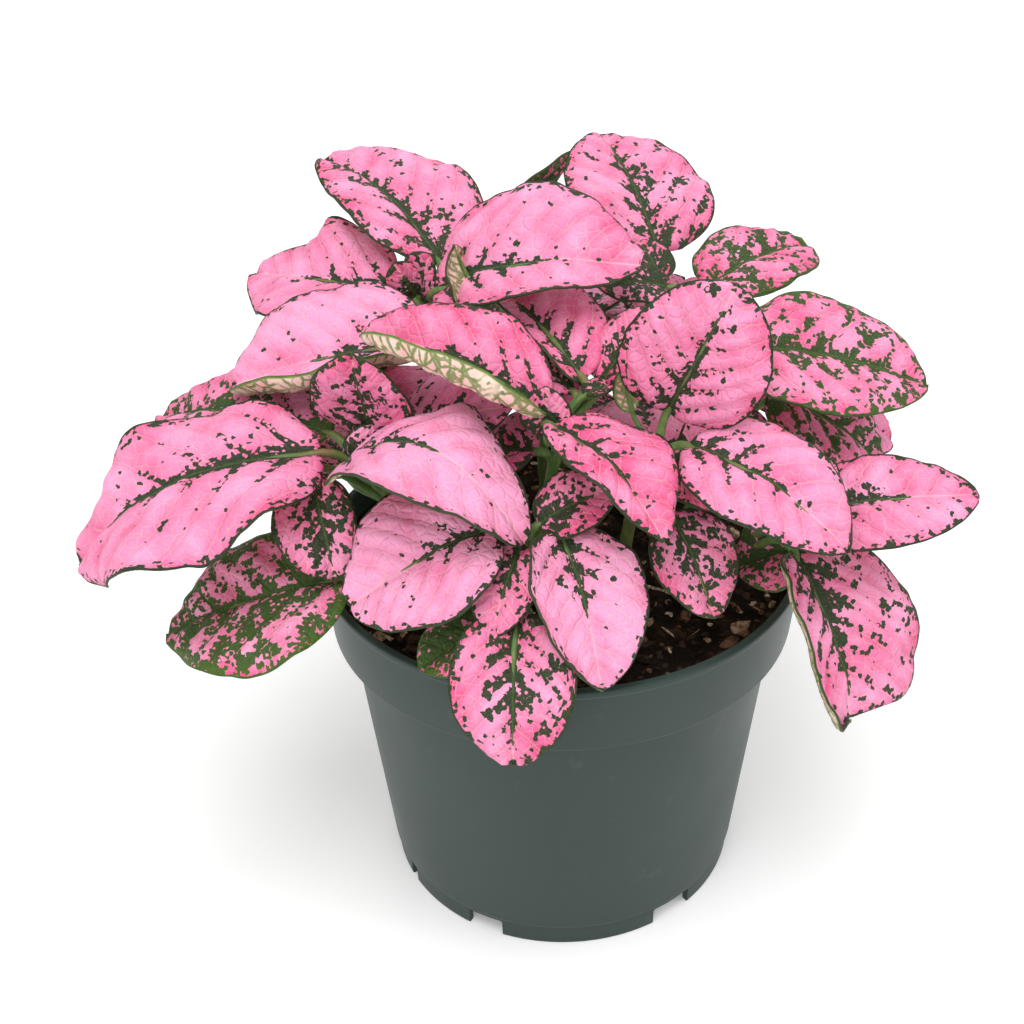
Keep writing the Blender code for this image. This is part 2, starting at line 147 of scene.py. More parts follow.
# Second colours of the materials
PALE_VEIN = (0.90, 0.66, 0.50)
UNDER_FLUSH = (0.82, 0.40, 0.42)
UNDER_GREENS = ((0.17, 0.28, 0.045), (0.06, 0.13, 0.025))
EDGE_BROWN = (0.07, 0.06, 0.03)
STREAK_BROWN = (0.30, 0.28, 0.12)
STREAK_STRETCH = (1.0, 1.0, 0.25)
PLASTIC_PALER = (0.041, 0.063, 0.056)
DUST = (0.20, 0.22, 0.21)
PEAT_BROWN = (0.030, 0.018, 0.011)
CRUMB_BROWN = (0.080, 0.048, 0.030)
BIT_BROWN = (0.03, 0.016, 0.010)

# Stage: the floor's glow grows by the third value between two distances from the pot; each light
# has a place, a size and a power
FLOOR_SIDE = 4.0
GLOW_RISE = (0.3, 1.3, 0.6)
LIGHTS = {
    "light_key": ((-0.10, -0.38, 1.15), 0.8, 8.6),
    "light_front": ((-0.45, -1.0, 0.55), 0.7, 2.4),
    "light_right": ((0.85, -0.1, 0.7), 0.7, 2.6),
    "light_back": ((0.0, 0.9, 0.8), 0.8, 2.2),
}
LIGHT_AIM = Vector((0.0, 0.0, 0.11))
CAMERA_ROLL = math.radians(-0.3)
CAMERA_SHIFT = -0.0481
SENSOR = 36.0

# Leaf markings: how much is spotted, how far the green rib runs, the width of the green margin in
# millimetres, and how deep the pink is
PLAIN = (0.20, 0.60, 0.85, 0.28)
PALE = (0.12, 0.55, 0.65, 0.02)
BRANCHED = (0.31, 0.80, 0.85, 0.30)
# DEEP is the deep pink of young and hot pink leaves; on the leaves inside the plant it is partly
# painted shade
DEEP = (0.24, 0.65, 0.75, 0.52)
DOTTED = (0.38, 0.70, 0.8, 0.40)
SPOTTED = (0.55, 0.85, 1.2, 0.35)
DENSE = (0.70, 0.95, 2.2, 0.45)
GREEN = (0.86, 1.00, 3.0, 0.40)


def leaf(name, marks, base, tip, width, roll=0, arch=0.08, bend=0.0, cup=(12, 12), curl=(-30, -30),
         wave=0.05, full=0.3, sides=(1, 1)):
    """A leaf's name, markings and form: its ends and width in millimetres, and how it is curved."""
    return SimpleNamespace(
        name=name, marks=marks, base=Vector(base) * MM, tip=Vector(tip) * MM, width=width * MM,
        roll=math.radians(roll), arch=arch, bend=bend, cup=cup, curl=curl, wave=wave, full=full,
        sides=sides)


# Each shoot: where it leaves the soil (x, y), where its stem ends, and its leaves, in millimetres;
# a leaf's sixth value, where there is one, is its roll in degrees
SHOOTS = {
    "shoot_left": ((-30, -10), (-46, -16, 122), (
        leaf("outer_low", BRANCHED, (-51, -19, 125), (-105, -27, 102), 40, -20, arch=0.18,
             wave=0.18, full=0.7, sides=(1.12, 0.88)),
        leaf("back_low", DENSE, (-50, -11, 125), (-93, 12, 117), 36, -15, full=0.5),
        leaf("fold_front", PALE, (-47, -20, 122), (-7, -44, 118), 34, 15, arch=0.34, bend=-0.04,
             cup=(-10, 5), curl=(-20, 30)),
        leaf("upright", SPOTTED, (-41, -11, 125), (-43, -18, 148), 24, 180, arch=0.04),
        leaf("hanging", SPOTTED, (-53, -22, 120), (-48, -35, 103), 23, 10, arch=0.12, cup=(30, 10),
             sides=(0.7, 0.95)),
        leaf("inner", DOTTED, (-36, -11, 124), (-10, -15, 134), 27, 20),
        leaf("under", DOTTED, (-47, -11, 114), (-56, 13, 112), 20, -10),
        leaf("tiny", PALE, (-46, -17, 122), (-37, -13, 128), 9, 60),
        leaf("lowest", GREEN, (-46, -31, 101), (-87, -31, 86), 36, -20, arch=0.06,
             sides=(1.15, 0.9)))),
    "shoot_upper_left": ((-18, 16), (-31, 25, 142), (
        leaf("topmost", SPOTTED, (-28, 30, 147), (-59, 65, 160), 40, -10, bend=0.05, cup=(25, 5),
             full=0.2, sides=(0.75, 1.05)),
        leaf("left_top", PLAIN, (-38, 26, 142), (-74, 43, 139), 34, -25, bend=-0.04, wave=0.16,
             full=0.4),
        leaf("bud_right", DEEP, (-33, 26, 141), (-29, 22, 153), 12, 90),
        leaf("bud_left", DEEP, (-33, 25, 141), (-38, 24, 150), 12, -90),
        leaf("broad", PALE, (-30, 3, 140), (-74, 4, 129), 40, -25, arch=0.06, curl=(110, -30),
             full=0.8, sides=(0.9, 1)),
        leaf("under_back", SPOTTED, (-34, 31, 132), (-58, 54, 130), 26),
        leaf("under_front", DOTTED, (-20, 16, 126), (2, 8, 130), 20),
        leaf("under_left", DEEP, (-25, 22, 121), (-38, 2, 117), 30))),
    "shoot_top_left": ((-4, 26), (-14, 30, 142), (
        leaf("crown", PLAIN, (-28, 15, 147), (18, 3, 158), 40, 35, arch=0.14, curl=(-30, 20),
             full=0.6, sides=(1, 0.6)),
        leaf("sliver", DENSE, (-11, 56, 154), (3, 62, 163), 10, 125),
        leaf("under", DOTTED, (-14, 35, 132), (-24, 62, 135), 25),
        leaf("turned", PALE, (-17, 8, 147), (-23, 10, 160), 15, 180, full=0.6))),
    "shoot_top_right": ((16, 20), (22, 26, 146), (
        leaf("tall", SPOTTED, (23, 31, 149), (10, 66, 166), 37, 5, cup=(8, 8), full=0.1,
             sides=(0.95, 1.08)),
        leaf("small_front", SPOTTED, (25, 14, 148), (8, 11, 150), 15, -20, full=0.6),
        leaf("small_back", SPOTTED, (23, 20, 147), (18, 31, 152), 11),
        leaf("under_back", DOTTED, (24, 31, 130), (32, 58, 131), 25),
        leaf("under_front", PLAIN, (18, 15, 119), (21, -8, 118), 23),
        leaf("under_middle", DEEP, (14, 20, 116), (3, 6, 118), 22))),
    "shoot_centre": ((-4, -6), (1, -21, 136), (
        leaf("folded", DEEP, (5, -13, 139), (-17, 20, 147), 28, -12, arch=0.1, cup=(0, 12),
             curl=(100, -30), sides=(0.5, 1)),
        leaf("spotted", SPOTTED, (3, -13, 136), (-15, 8, 138), 19, -8, full=0.5),
        leaf("young", DEEP, (9, -13, 138), (21, -2, 150), 17),
        leaf("tiny", DEEP, (5, -18, 138), (12, -13, 138), 7),
        leaf("curled", DEEP, (-3, -25, 138), (-41, -13, 150), 30, -20, arch=0.12, curl=(150, -30),
             full=0.5),
        leaf("front", DEEP, (-2, -29, 137), (20, -52, 124), 32, -10, arch=0.12, cup=(18, 12),
             full=0.5, sides=(0.9, 0.6)),
        leaf("bud", PLAIN, (-3, -26, 133), (-3, -25, 144), 11),
        leaf("inner", DEEP, (-5, -17, 124), (-23, -6, 116), 20, -20))),
    "shoot_right_centre": ((14, -14), (20, -27, 131), (
        leaf("upright", BRANCHED, (22, -22, 136), (34, -29, 168), 31, 105, arch=0.06, full=0.7),
        leaf("outer", PLAIN, (26, -27, 131), (57, -49, 119), 28, 15, arch=0.14, full=0.2),
        leaf("hanging", SPOTTED, (23, -31, 117), (32, -45, 100), 21, arch=0.06),
        leaf("tiny", PLAIN, (15, -20, 135), (13, -21, 146), 6, 90),
        # the deep pink of this inner leaf is partly painted shade
        leaf("shaded", DEEP, (22, -23, 125), (36, -31, 118), 17, 10))),
    "shoot_right_upper": ((30, 2), (40, 6, 140), (
        leaf("back", DENSE, (33, 18, 146), (59, 38, 148), 26, 10, full=0.6),
        leaf("outer", DENSE, (37, -2, 141), (81, -1, 131), 34, 25, full=0.3, sides=(0.95, 1)),
        leaf("lower", DENSE, (46, 2, 129), (73, -1, 111), 30, 25, full=0.5),
        leaf("lowest", PLAIN, (54, 13, 120), (79, 14, 108), 26, 20),
        leaf("under", DOTTED, (41, 14, 129), (62, 39, 127), 26),
        leaf("inner", DEEP, (38, -3, 128), (36, -13, 107), 22))),
    "shoot_right_low": ((36, -16), (51, -24, 113), (
        leaf("outer", PLAIN, (51, -25, 113), (89, -25, 117), 26, 30, sides=(0.78, 0.95)),
        leaf("inner", DENSE, (54, -25, 105), (38, -24, 98), 22, -20),
        leaf("hanging", SPOTTED, (50, -30, 106), (62, -50, 77), 36, -10, curl=(-20, 60), wave=0.01,
             full=1.7, sides=(1.28, 1)),
        leaf("bud", PALE, (53, -24, 115), (57, -24, 126), 8, 90),
        leaf("tiny", DOTTED, (50, -21, 115), (51, -17, 126), 9))),
    "shoot_front": ((-10, -26), (-7, -38, 116), (
        leaf("left", PALE, (-13, -38, 119), (-44, -44, 103), 32, -28, full=0.6, sides=(1, 1.06)),
        leaf("small", PLAIN, (-8, -40, 115), (-14, -54, 102), 15, arch=0.12),
        leaf("behind", GREEN, (-10, -45, 99), (-30, -51, 92), 20, -10),
        leaf("hanging", SPOTTED, (-9, -49, 105), (-10, -66, 79), 26, arch=0.2, curl=(-20, -20),
             full=0.5),
        leaf("right", PALE, (0, -39, 118), (8, -61, 94), 27, arch=0.1, curl=(-20, 50)),
        leaf("young", DOTTED, (-5, -37, 118), (12, -33, 125), 16, 20))),
    "shoot_back_left": ((-26, 34), (-35, 45, 121), (
        leaf("first", DOTTED, (-38, 46, 122), (-70, 60, 110), 28),
        leaf("second", PLAIN, (-36, 49, 120), (-46, 88, 104), 28),
        leaf("third", SPOTTED, (-40, 40, 113), (-80, 38, 97), 28),
        leaf("fourth", PLAIN, (-31, 51, 112), (-14, 86, 98), 26),
        leaf("young", DEEP, (-34, 44, 119), (-22, 62, 122), 13),
        leaf("inner", DOTTED, (-38, 36, 122), (-60, 20, 125), 22))),
    "shoot_back": ((0, 42), (2, 49, 124), (
        leaf("first", PLAIN, (0, 52, 124), (-6, 94, 110), 30),
        leaf("second", SPOTTED, (6, 51, 122), (32, 86, 108), 28),
        leaf("third", DENSE, (3, 52, 108), (10, 88, 88), 26),
        leaf("young", PALE, (5, 48, 125), (18, 60, 129), 13),
        leaf("inner", DOTTED, (1, 44, 124), (2, 20, 130), 17))),
    "shoot_back_right": ((26, 32), (37, 43, 121), (
        leaf("first", SPOTTED, (40, 44, 121), (74, 58, 108), 28),
        leaf("second", PLAIN, (39, 48, 118), (56, 84, 102), 27),
        leaf("third", DENSE, (44, 38, 110), (80, 34, 94), 27),
        leaf("fourth", DOTTED, (36, 46, 106), (36, 84, 88), 26))),
}


# ---- Sizes and colours that a user would change ----


def color_property(name, description, default):
    """A colour setting."""
    return FloatVectorProperty(name=name, description=description, subtype="COLOR", min=0.0,
                               max=1.0, default=default)


def length_property(name, description, default, least=0.0):
    """A length setting."""
    return FloatProperty(name=name, description=description, unit="LENGTH", default=default,
                         min=least)


class PotSettings(PropertyGroup):
    """The nursery pot."""
    plastic: color_property("Plastic", "Colour of the pot", (0.031, 0.050, 0.044))
    steps: IntProperty(name="Steps", description="Faces round the pot", default=240, min=24)


class SoilSettings(PropertyGroup):
    """The potting mix."""
    dark: color_property("Peat", "Colour of the damp peat", (0.011, 0.007, 0.005))
    lumps: length_property("Lumps", "Height of the soil's lumps", 1.6 * MM)
    bits: IntProperty(name="Bits", description="Number of loose bits of bark and perlite",
                      default=1400, min=0)


class LeafSettings(PropertyGroup):
    """The leaves' blades."""
    light: color_property("Light pink", "Middle of the palest blades", (0.935, 0.39, 0.62))
    deep: color_property("Deep pink", "Edges and the deepest blades", (0.74, 0.09, 0.24))
    dark: color_property("Dark green", "Spots, rib and margin", (0.009, 0.046, 0.014))
    bright: color_property("Bright green", "Broad margins", (0.055, 0.165, 0.014))
    cream: color_property("Cream", "Underside", (0.84, 0.69, 0.55))
    thickness: length_property("Thickness", "Thickness of a blade", 0.45 * MM)
    cell: length_property("Cell", "Side of a blade's mesh faces", 1.0 * MM, 0.1 * MM)
    relief: length_property("Relief", "Height of the swellings between veins", 0.7 * MM)


class StemSettings(PropertyGroup):
    """The stems and leaf stalks."""
    green: color_property("Green", "Colour of the stalks", (0.10, 0.19, 0.045))
    red: color_property("Red", "Flush on the stalks", (0.20, 0.15, 0.06))
    radius: length_property("Stem radius", "Radius of a stem", 1.6 * MM, 0.1 * MM)
    stalk: length_property("Stalk radius", "Radius of a large leaf's stalk", 0.95 * MM, 0.1 * MM)


class StageSettings(PropertyGroup):
    """The floor, the lights and the camera."""
    floor: color_property("Floor", "Colour of the floor", (0.93, 0.93, 0.93))
    glow: FloatProperty(name="Glow", description="Light that the floor gives off itself",
                        default=0.2, min=0.0)
    ambient: FloatProperty(name="Ambient", description="Strength of the light from all around",
                           default=0.46, min=0.0)
    lens: FloatProperty(name="Focal length", description="Focal length on a 36 mm sensor, in mm",
                        default=51.89, min=1.0)
    distance: length_property("Distance", "How far in front of the pot's axis", 0.2907)
    height: length_property("Height", "Height of the camera", 0.2848)
    pitch: FloatProperty(name="Pitch", description="How far the camera looks down",
                         subtype="ANGLE", default=math.radians(32.8))


# ---- Materials ----


def operation(name, swapped=False):
    """A method of Value that joins it and another value to a Math node."""
    def method(self, other=0.0):
        first, second = (other, self) if swapped else (self, other)
        return self.recipe.math(name, first, second)
    return method


class Value:
    """A node's output, which plain arithmetic and comparisons join to Math nodes."""
    __add__ = __radd__ = operation("ADD")
    __mul__ = __rmul__ = operation("MULTIPLY")
    __sub__ = operation("SUBTRACT")
    __rsub__ = operation("SUBTRACT", swapped=True)
    __truediv__ = operation("DIVIDE")
    __pow__ = operation("POWER")
    __lt__ = operation("LESS_THAN")
    __gt__ = operation("GREATER_THAN")
    __abs__ = operation("ABSOLUTE")

    def __init__(self, recipe, node, output=0):
        self.recipe = recipe
        self.socket = node.outputs[output]

    def clamped(self):
        """The same value, held between 0 and 1."""
        self.socket.node.use_clamp = True
        return self


class Recipe:
    """A material, with short calls that add nodes to it and join them."""

    def __init__(self, name, roughness, specular):
        self.material = bpy.data.materials.new(name)
        self.material.use_nodes = True
        self.tree = self.material.node_tree
        self.shader = self.tree.nodes["Principled BSDF"]
        self.shader.inputs["Roughness"].default_value = roughness
        self.shader.inputs["Specular IOR Level"].default_value = specular

    def node(self, kind, inputs=(), **settings):
        """A new node with these settings and inputs, given in order or by name."""
        node = self.tree.nodes.new(kind)
        for key, value in settings.items():
            setattr(node, key, value)
        for key, value in inputs.items() if isinstance(inputs, dict) else enumerate(inputs):
            self.put(value, node.inputs[key])
        return node

    def value(self, kind, inputs=(), output=0, **settings):
        """An output of a new node with these settings and inputs."""
        return Value(self, self.node(kind, inputs, **settings), output)

    def put(self, value, socket):
        """Join a value to a socket, or set the socket to a number, vector or colour."""
        if isinstance(value, Value):
            self.tree.links.new(value.socket, socket)
        elif isinstance(value, (int, float)):
            socket.default_value = value
        else:
            socket.default_value = tuple(value) + (1.0,) * (len(socket.default_value) - len(value))

    def math(self, kind, first, second=0.0):
        """The result of a Math node."""
        return self.value("ShaderNodeMath", (first, second), operation=kind)

    def most(self, *values):
        """The largest of several values."""
        best = values[0]
        for value in values[1:]:
            best = self.math("MAXIMUM", best, value)
        return best

    def step(self, value, low, high, start=0.0, end=1.0):
        """A smooth step of a value between two limits."""
        return self.value("ShaderNodeMapRange", (value, low, high, start, end),
                          interpolation_type="SMOOTHSTEP")

    def mix(self, share, first, second):
        """A mix of two colours."""
        return self.value("ShaderNodeMix", {0: share, 6: first, 7: second}, 2, data_type="RGBA")

    def vector(self, x, y):
        """A flat vector."""
        return self.value("ShaderNodeCombineXYZ", (x, y, 0.0))

    def parts(self, vector):
        """The three values of a vector or a colour."""
        node = self.node("ShaderNodeSeparateXYZ", (vector,))
        return [Value(self, node, number) for number in range(3)]

    def attribute(self, name):
        """A vector stored on the mesh."""
        return self.value("ShaderNodeAttribute", (), "Vector", attribute_name=name)

    def place(self):
        """Object coordinates."""
        return self.value("ShaderNodeTexCoord", (), "Object")

    def noise(self, vector, scale, detail=2.0, rough=0.5, output="Fac"):
        """A noise texture."""
        return self.value("ShaderNodeTexNoise", {
            "Vector": vector, "Scale": scale, "Detail": detail, "Roughness": rough}, output)

    def cells(self, vector, scale, feature="F1", dimensions="2D"):
        """The distance, colour and position of a Voronoi texture, where it has them."""
        node = self.node("ShaderNodeTexVoronoi", {"Vector": vector, "Scale": scale},
                         feature=feature, voronoi_dimensions=dimensions)
        return [Value(self, node, name) for name in ("Distance", "Color", "Position")
                if name in node.outputs]

    def move(self, *vectors, kind="ADD"):
        """Vectors added, subtracted, or multiplied and added."""
        return self.value("ShaderNodeVectorMath", vectors, operation=kind)

    def finish(self, color, height, strength, distance):
        """Give the shader its colour and, from a height, its bump."""
        self.put(color, self.shader.inputs["Base Color"])
        bump = self.value("ShaderNodeBump", {"Strength": strength, "Distance": distance,
                                             "Height": height})
        self.put(bump, self.shader.inputs["Normal"])
        return self.material


def vein_distance(recipe, x, y, length):
    """A point's distance from the nearest side vein, in millimetres."""
    out = abs(x)
    wander = (recipe.noise(recipe.vector(x, y), VEIN_WANDER_SCALE, 1.0) - 0.5) * VEIN_WANDER
    along = y + wander - out * VEIN_LEAN - out * out * VEIN_CURVE / length
    spacing = length * VEIN_SPACING
    place = along / spacing + recipe.math("SIGN", x) * VEIN_SHIFT
    return abs(recipe.math("FRACT", place) - 0.5) * spacing * VEIN_NARROWING


def blade_values(recipe):
    """What the mesh stores at a point of a blade, by name, and its place on the leaf's own plan."""
    values = {}
    for layer, names in BLADE_LAYERS.items():
        values.update(zip(names, recipe.parts(recipe.attribute(layer))))
    blade = SimpleNamespace(**values)
    blade.vein = vein_distance(recipe, blade.x, blade.y, blade.length)
    blade.shift = recipe.vector(blade.seed * SEED_STEPS[0], blade.seed * SEED_STEPS[1])
    blade.plan = recipe.move(recipe.vector(blade.x, blade.y), blade.shift)
    return blade


def ragged(recipe, vector, scale, reach):
    """A vector moved about by a noise, so that what is drawn on it has a ragged outline."""
    warp = recipe.noise(vector, scale, 2.0, 0.6, output="Color")
    return recipe.move(warp, (reach, reach, 0.0), vector, kind="MULTIPLY_ADD")


def spot_mask(recipe, blade):
    """Where a blade is green: blotches along its side veins, dots, the rib and a toothed margin."""
    spots, vein = blade.spots, blade.vein
    from_middle = abs(blade.x)
    rough_plan = ragged(recipe, blade.plan, 1.3, 0.8)
    distance, color, centre = recipe.cells(rough_plan, BLOTCH_CELLS)
    chance, second, third = recipe.parts(color)
    cell_x, cell_y, _ = recipe.parts(recipe.move(centre, blade.shift, kind="SUBTRACT"))
    near = recipe.step(abs(cell_x), 0.5, 9.0, 1.0, 0.0)
    left = (1.0 - blade.y / (blade.length * (blade.rib + 0.02))).clamped()
    cell_vein = recipe.step(vein_distance(recipe, cell_x, cell_y, blade.length), 0.3, 1.7, 1.0, 0.0)
    blob = (recipe.noise(centre, 0.25, 1.0) - 0.5) * 2.8
    patch = (recipe.noise(centre, 0.08, 0.0) - 0.5) * 1.2
    pull = (0.66 - spots * 0.40) * (near * 0.48 + 0.52)
    rib_pull = near * recipe.step(left, 0.0, 0.6) * (0.46 - spots * 0.42)
    score = blob + patch + (chance - 0.5) * 0.40 + cell_vein * pull + rib_pull
    over = score - (1.27 - spots * 1.42)
    blotch = (over > 0.0) * (distance < over * 0.9 + 0.52)

    distance, color, _ = recipe.cells(rough_plan, DOT_CELLS)
    dot_chance, dot_size, _ = recipe.parts(color)
    common = (spots * 0.12 + recipe.step(vein, 0.2, 0.9, 0.10, 0.0)
              + recipe.step(blade.margin, 0.8, 2.2, 0.08, 0.0))
    dot = (dot_chance < common) * (distance < dot_size * 0.20 + 0.10)

    thick = left ** 0.5 * (blade.length * 0.022 + 0.50)
    band = from_middle < thick * (chance * 1.5 + 0.30)
    spur = (vein < second + 0.25) * (from_middle < left * third * 15.0)

    distance, color, _ = recipe.cells(blade.plan, HOLE_CELLS)
    hole_chance, _, _ = recipe.parts(color)
    hole = (hole_chance > 0.84) * (distance < 0.28) * (from_middle > 1.0)

    bite = recipe.step(second, 0.45, 1.0) ** 2.0
    broad = (second - 0.5).clamped() * 2.2 * blade.rim
    tooth = blade.margin < 0.36 + chance * 0.26 + bite * 1.1 + broad
    inner = recipe.most(blotch, band, spur) * (1.0 - hole)
    return recipe.most(inner, dot, tooth)


def make_upper_material(settings):
    """The upper side: pink with faint pale veins, painted shade in its vein grooves, and dark green
    spots, rib and margin.
    """
    recipe = Recipe("leaf_upper", 0.48, 0.12)
    blade = blade_values(recipe)
    plan, vein, from_middle = blade.plan, blade.vein, abs(blade.x)
    green = spot_mask(recipe, blade)
    # How deep the pink is: each leaf's own pink, deeper near the margin, near the base and at
    # random, and deeper along the side veins as painted shade
    pink_depth_and_painted_shade = (blade.pink + recipe.step(blade.margin, 0.0, 4.0, 0.25, 0.0)
             + (recipe.noise(plan, 0.11) - 0.5) * 1.7
             # painted shade: deeper pink in the grooves along the side veins, where the blade's
             # relief sinks
             + recipe.step(vein, 0.2, 2.2, 0.18, 0.0)
             + recipe.step(blade.y / blade.length, 0.0, 0.35, 0.15, 0.0))
    flesh = recipe.mix(pink_depth_and_painted_shade.clamped(), settings.light, settings.deep)
    fine = recipe.noise(plan, 2.4, 3.0, 0.6)
    flesh = recipe.mix(recipe.step(fine, 0.35, 0.75, 0.0, 0.16), flesh, settings.deep)
    net = recipe.cells(ragged(recipe, plan, 0.5, 1.6), 0.45, "DISTANCE_TO_EDGE")[0]
    pale = recipe.most(recipe.step(vein, 0.04, 0.22, 0.24, 0.0),
                       recipe.step(net, 0.01, 0.07, 0.20, 0.0),
                       recipe.step(from_middle, 0.08, 0.28, 0.38, 0.0))
    flesh = recipe.mix(pale, flesh, PALE_VEIN)
    leafy = recipe.step(blade.rim, 0.8, 3.0) * recipe.step(blade.margin, 0.3, 4.5, 1.0, 0.6)
    shade = recipe.mix(leafy, settings.dark, settings.bright)
    shade = recipe.mix(recipe.noise(plan, 0.8) * 0.6, shade, settings.dark)
    shade = recipe.mix(recipe.step(from_middle, 0.10, 0.40, 0.4, 0.0), shade, settings.bright)
    color = recipe.mix(green * recipe.step(fine, 0.3, 0.7, 0.92, 1.0), flesh, shade)
    height = (recipe.step(vein, 0.0, 0.6, 0.0, 0.7) + fine * 0.35
              + recipe.step(net, 0.0, 0.25, 0.0, 0.9) + recipe.noise(plan, 5.0) * 0.2)
    return recipe.finish(color, height, 0.6, 0.3 * MM)


def make_under_material(settings):
    """The underside: cream, flushed with pink, with a net of green veins."""
    recipe = Recipe("leaf_under", 0.55, 0.18)
    blade = blade_values(recipe)
    plan, vein = blade.plan, blade.vein
    net = recipe.cells(ragged(recipe, plan, 0.9, 1.2), 0.42, "DISTANCE_TO_EDGE")[0]
    patch = recipe.noise(plan, 0.16)
    ground = recipe.mix(recipe.step(patch, 0.35, 0.7, 0.15, 0.75), settings.cream, UNDER_FLUSH)
    mesh = recipe.step(net, 0.05, 0.20, 0.9, 0.0) * recipe.step(patch, 0.34, 0.52)
    lines = recipe.most(mesh, recipe.step(recipe.noise(plan, 0.42), 0.60, 0.64, 0.0, 0.8),
                        recipe.step(vein, 0.2, 0.55, 0.8, 0.0),
                        recipe.step(abs(blade.x), 0.3, 0.9, 0.9, 0.0),
                        recipe.step(blade.margin, 0.25, 0.8, 1.0, 0.0))
    olive = recipe.mix(recipe.noise(plan, 0.5, 1.0), *UNDER_GREENS)
    height = recipe.step(vein, 0.0, 0.7, 0.8, 0.0) + recipe.noise(plan, 3.0) * 0.4
    return recipe.finish(recipe.mix(lines, ground, olive), height, 0.5, 0.3 * MM)


def make_margin_material(settings):
    """The thin edge of a blade."""
    recipe = Recipe("leaf_edge", 0.5, 0.3)
    tone = recipe.noise(recipe.place(), 900.0)
    return recipe.finish(recipe.mix(tone, settings.dark, EDGE_BROWN), tone, 0.2, 0.1 * MM)


def make_stem_material(settings):
    """Stems and stalks: green flushed with red, with fine lengthwise streaks."""
    recipe = Recipe("stem", 0.5, 0.35)
    stretched = recipe.value("ShaderNodeMapping", {
        "Vector": recipe.place(), "Scale": STREAK_STRETCH})
    patches = recipe.noise(stretched, 90.0, 3.0)
    streaks = recipe.noise(stretched, 900.0)
    color = recipe.mix(recipe.step(patches, 0.48, 0.75), settings.green, settings.red)
    color = recipe.mix(recipe.step(streaks, 0.45, 0.8, 0.0, 0.5), color, STREAK_BROWN)
    return recipe.finish(color, streaks, 0.35, 0.2 * MM)


def make_pot_material(settings):
    """Satin moulded plastic with a fine matt grain, faint scuffs and a little dust."""
    recipe = Recipe("pot_plastic", 0.42, 0.22)
    place = recipe.place()
    cloud = recipe.noise(place, 22.0, 3.0)
    scuff = recipe.noise(place, 160.0, 4.0, 0.65)
    color = recipe.mix(recipe.step(cloud, 0.3, 0.7, 0.0, 0.25), settings.plastic, PLASTIC_PALER)
    color = recipe.mix(recipe.step(scuff, 0.62, 0.78, 0.0, 0.12), color, DUST)
    recipe.put(recipe.step(cloud, 0.25, 0.75, 0.38, 0.50), recipe.shader.inputs["Roughness"])
    return recipe.finish(color, recipe.noise(place, 2600.0) + scuff * 0.6, 0.12, 0.1 * MM)


def make_soil_material(settings):
    """Damp peat: nearly black, with brown fibres and crumbs."""
    recipe = Recipe("soil", 0.85, 0.10)
    place = recipe.place()
    distance, crumbs, _ = recipe.cells(place, 700.0, dimensions="3D")
    chance, _, _ = recipe.parts(crumbs)
    wet = recipe.noise(place, 120.0, 3.0)
    color = recipe.mix(recipe.step(wet, 0.35, 0.7), settings.dark, PEAT_BROWN)
    color = recipe.mix(recipe.step(chance, 0.82, 0.95, 0.0, 0.8), color, CRUMB_BROWN)
    return recipe.finish(color, distance + recipe.noise(place, 1500.0, 3.0), 0.9, 0.5 * MM)


def make_bits_material():
    """Loose bits: each bit's own colour, from dark bark to pale perlite, with a rough skin."""
    recipe = Recipe("soil_bits", 0.8, 0.12)
    rough = recipe.noise(recipe.place(), 1100.0, 3.0, 0.6)
    color = recipe.mix(recipe.step(rough, 0.45, 0.62, 0.0, 0.75), recipe.attribute("tint"),
                       BIT_BROWN)
    return recipe.finish(color, rough, 0.7, 0.3 * MM)


# ---- Shapes ----


def add_object(name, data):
    """A new object in the scene."""
    obj = bpy.data.objects.new(name, data)
    bpy.context.scene.collection.objects.link(obj)
    return obj


def new_piece(name, mesh, replaced):
    """An object that holds the mesh, riding on the plant, in place of the replaced nodes."""
    obj = add_object(name, mesh)
    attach(obj, BODY)
    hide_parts(*replaced)
    return obj


def mesh_of(name, bm):
    """A smooth mesh made from a bmesh, which is freed."""
    mesh = bpy.data.meshes.new(name)
    bm.to_mesh(mesh)
    bm.free()
    mesh.shade_smooth()
    return mesh


def bezier(start, pull_start, pull_end, end, share):
    """The point of a cubic curve at a share of its way."""
    rest = 1.0 - share
    return (start * rest ** 3 + pull_start * 3.0 * rest * rest * share
            + pull_end * 3.0 * rest * share * share + end * share ** 3)


def smooth(value, low, high):
    """A smooth step of a value between two limits."""
    share = min(max((value - low) / (high - low), 0.0), 1.0)
    return share * share * (3.0 - 2.0 * share)


def rounded(corners):
    """A profile whose corners, given as (radius, height, rounding), are rounded."""
    points = []
    for number, (radius, height, rounding) in enumerate(corners):
        corner = Vector((radius, 0.0, height))
        if rounding <= 0.0 or number in (0, len(corners) - 1):
            points.append(corner)
            continue
        before = Vector((corners[number - 1][0], 0.0, corners[number - 1][1])) - corner
        after = Vector((corners[number + 1][0], 0.0, corners[number + 1][1])) - corner
        cut = min(rounding, 0.45 * before.length, 0.45 * after.length)
        start, end = corner + before.normalized() * cut, corner + after.normalized() * cut
        for step in range(CORNER_STEPS + 1):
            share = step / CORNER_STEPS
            rest = 1.0 - share
            points.append(start * rest * rest + corner * 2.0 * share * rest + end * share * share)
    return points


def spin(points, steps):
    """A closed bmesh turned about Z from a profile whose two ends are on the axis."""
    bm = bmesh.new()
    verts = [bm.verts.new(point) for point in points]
    edges = [bm.edges.new(pair) for pair in zip(verts, verts[1:])]
    bmesh.ops.spin(bm, geom=verts + edges, cent=(0, 0, 0), axis=(0, 0, 1), dvec=(0, 0, 0),
                   angle=math.tau, steps=steps, use_merge=True, use_duplicate=False)
    bmesh.ops.remove_doubles(bm, verts=bm.verts[:], dist=0.005 * MM)
    bmesh.ops.recalc_face_normals(bm, faces=bm.faces[:])
    return bm


